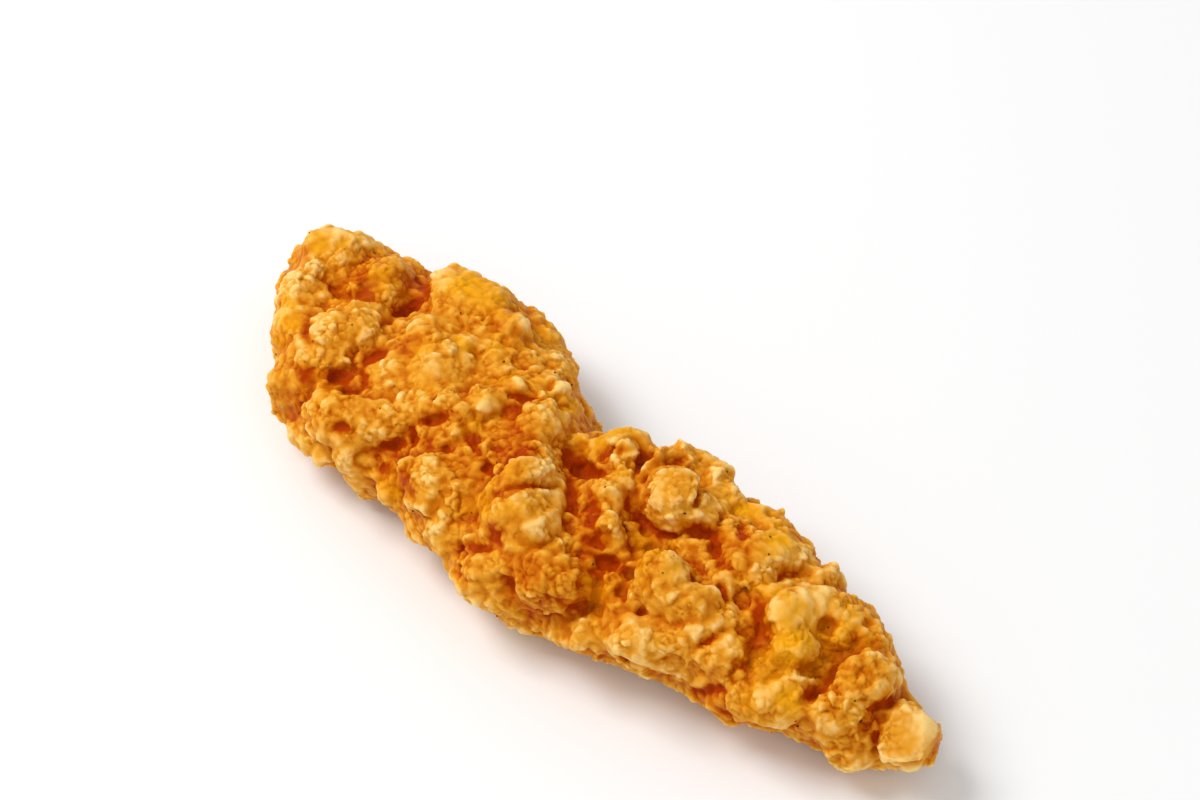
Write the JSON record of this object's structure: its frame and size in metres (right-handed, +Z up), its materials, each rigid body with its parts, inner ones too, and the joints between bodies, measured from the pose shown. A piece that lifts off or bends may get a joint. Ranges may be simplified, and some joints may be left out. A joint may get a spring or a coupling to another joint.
{
  "type": "breaded chicken tender",
  "caption": "Breaded, deep-fried chicken tender: a flat tapered strip with a broad end, a blunt tip and a craggy golden crust all over, lying on its base.",
  "frame": {"origin": "middle of the piece's bounding box in plan, at the height of the flat spots that it rests on", "axes": "+X along the piece from the broad end to the tip, +Z up from the base through the back, +Y towards the edge with the waist"},
  "size_m": [0.1406, 0.0468, 0.0249],
  "materials": {
    "fried_crust": "Craggy golden-brown fried crust with a light oily sheen: pale gold on the crags, deep orange-brown in the crevices, with a few dark pepper specks"
  },
  "bodies": {
    "root": {"chicken_tender": "fried_crust"}
  },
  "joints": []
}
